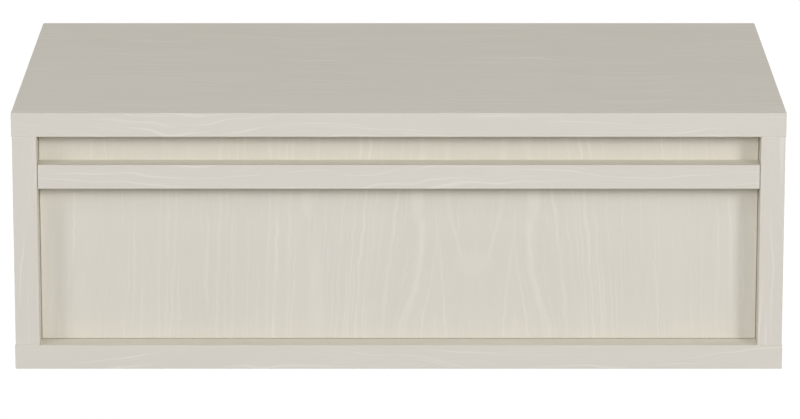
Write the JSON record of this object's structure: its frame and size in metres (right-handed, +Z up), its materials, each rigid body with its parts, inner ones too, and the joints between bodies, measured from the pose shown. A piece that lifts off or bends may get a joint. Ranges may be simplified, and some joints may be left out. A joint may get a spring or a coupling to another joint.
{
  "type": "floating nightstand",
  "caption": "Wall-hung bedside case with a drawer: board carcass on a hook cleat, set-back drawer front with a full-width rail as pull, dovetailed box on ball-bearing slides.",
  "frame": {"origin": "on the wall, at the middle of the wall cleat's flat back", "axes": "+X to the right seen from the front, +Y into the wall, +Z up"},
  "size_m": [0.6, 0.35, 0.205],
  "materials": {
    "limed_ash": "limed ash veneer under a matt lacquer, pale grain lines",
    "birch": "clear-lacquered birch",
    "beech": "raw turned beech",
    "aluminium": "extruded, plain mill finish",
    "zinc_steel": "cold-rolled, bright zinc plated",
    "ball_steel": "polished balls in a bright steel cage",
    "black_plastic": "moulded, fine matt"
  },
  "bodies": {
    "wall_cleat": {"wall_cleat": "aluminium"},
    "case": {"top_panel": "limed_ash", "bottom_panel": "limed_ash", "left_side_panel": "limed_ash", "right_side_panel": "limed_ash", "back_panel": "limed_ash", "hanging_rail": "limed_ash", "case_cleat": "aluminium", "cleat_screw_1": "zinc_steel", "cleat_screw_2": "zinc_steel", "cleat_screw_3": "zinc_steel", "cleat_screw_4": "zinc_steel", "top_left_front_dowel": "beech", "top_left_rear_dowel": "beech", "top_right_front_dowel": "beech", "top_right_rear_dowel": "beech", "bottom_left_front_dowel": "beech", "bottom_left_rear_dowel": "beech", "bottom_right_front_dowel": "beech", "bottom_right_rear_dowel": "beech", "rail_left_lower_dowel": "beech", "rail_left_upper_dowel": "beech", "rail_right_lower_dowel": "beech", "rail_right_upper_dowel": "beech", "left_slide_case_member": "zinc_steel", "right_slide_case_member": "zinc_steel", "left_case_slide_screw_1": "zinc_steel", "left_case_slide_screw_2": "zinc_steel", "right_case_slide_screw_1": "zinc_steel", "right_case_slide_screw_2": "zinc_steel"},
    "drawer": {"drawer_front": "limed_ash", "rail_pull": "limed_ash", "drawer_box_front": "birch", "drawer_left_side": "birch", "drawer_right_side": "birch", "drawer_box_back": "birch", "drawer_bottom": "birch", "front_screw_1": "zinc_steel", "front_screw_2": "zinc_steel", "front_screw_3": "zinc_steel", "front_screw_4": "zinc_steel", "pull_screw_1": "zinc_steel", "pull_screw_2": "zinc_steel", "pull_screw_3": "zinc_steel", "left_slide_drawer_member": "zinc_steel", "right_slide_drawer_member": "zinc_steel", "left_drawer_slide_screw_1": "zinc_steel", "left_drawer_slide_screw_2": "zinc_steel", "right_drawer_slide_screw_1": "zinc_steel", "right_drawer_slide_screw_2": "zinc_steel"},
    "left_middle_member": {"left_slide_middle_member": "zinc_steel"},
    "right_middle_member": {"right_slide_middle_member": "zinc_steel"},
    "left_outer_cage": {"left_outer_ball_cage": "ball_steel"},
    "right_outer_cage": {"right_outer_ball_cage": "ball_steel"},
    "left_inner_cage": {"left_inner_ball_cage": "ball_steel"},
    "right_inner_cage": {"right_inner_ball_cage": "ball_steel"},
    "left_lever": {"left_release_lever": "black_plastic"},
    "right_lever": {"right_release_lever": "black_plastic"}
  },
  "joints": [
    {"name": "lift_off", "type": "slide", "parent": "wall_cleat", "child": "case", "axis": [0, 0, 1], "range_m": [0, 0.014]},
    {"name": "drawer_slide", "type": "slide", "parent": "case", "child": "drawer", "axis": [0, -1, 0], "range_m": [0, 0.25]},
    {"name": "left_middle_member_slide", "type": "slide", "parent": "case", "child": "left_middle_member", "axis": [0, -1, 0], "range_m": [0, 0.125]},
    {"name": "left_outer_cage_slide", "type": "slide", "parent": "case", "child": "left_outer_cage", "axis": [0, -1, 0], "range_m": [0, 0.0625]},
    {"name": "left_inner_cage_slide", "type": "slide", "parent": "case", "child": "left_inner_cage", "axis": [0, -1, 0], "range_m": [0, 0.1875]},
    {"name": "right_middle_member_slide", "type": "slide", "parent": "case", "child": "right_middle_member", "axis": [0, -1, 0], "range_m": [0, 0.125]},
    {"name": "right_outer_cage_slide", "type": "slide", "parent": "case", "child": "right_outer_cage", "axis": [0, -1, 0], "range_m": [0, 0.0625]},
    {"name": "right_inner_cage_slide", "type": "slide", "parent": "case", "child": "right_inner_cage", "axis": [0, -1, 0], "range_m": [0, 0.1875]},
    {"name": "left_release", "type": "hinge", "parent": "drawer", "child": "left_lever", "pos_m": [-0.2706, -0.207, -0.0332], "axis": [1, 0, 0], "range_deg": [0, 8], "stiffness_Nm_per_rad": 0.02, "springref_deg": -5.73},
    {"name": "right_release", "type": "hinge", "parent": "drawer", "child": "right_lever", "pos_m": [0.2706, -0.207, -0.0332], "axis": [1, 0, 0], "range_deg": [-8, 0], "stiffness_Nm_per_rad": 0.02, "springref_deg": 5.73}
  ],
  "couplings": [
    {"joint": "left_middle_member_slide", "follows": "drawer_slide", "ratio": 0.5},
    {"joint": "left_outer_cage_slide", "follows": "drawer_slide", "ratio": 0.25},
    {"joint": "left_inner_cage_slide", "follows": "drawer_slide", "ratio": 0.75},
    {"joint": "right_middle_member_slide", "follows": "drawer_slide", "ratio": 0.5},
    {"joint": "right_outer_cage_slide", "follows": "drawer_slide", "ratio": 0.25},
    {"joint": "right_inner_cage_slide", "follows": "drawer_slide", "ratio": 0.75}
  ]
}
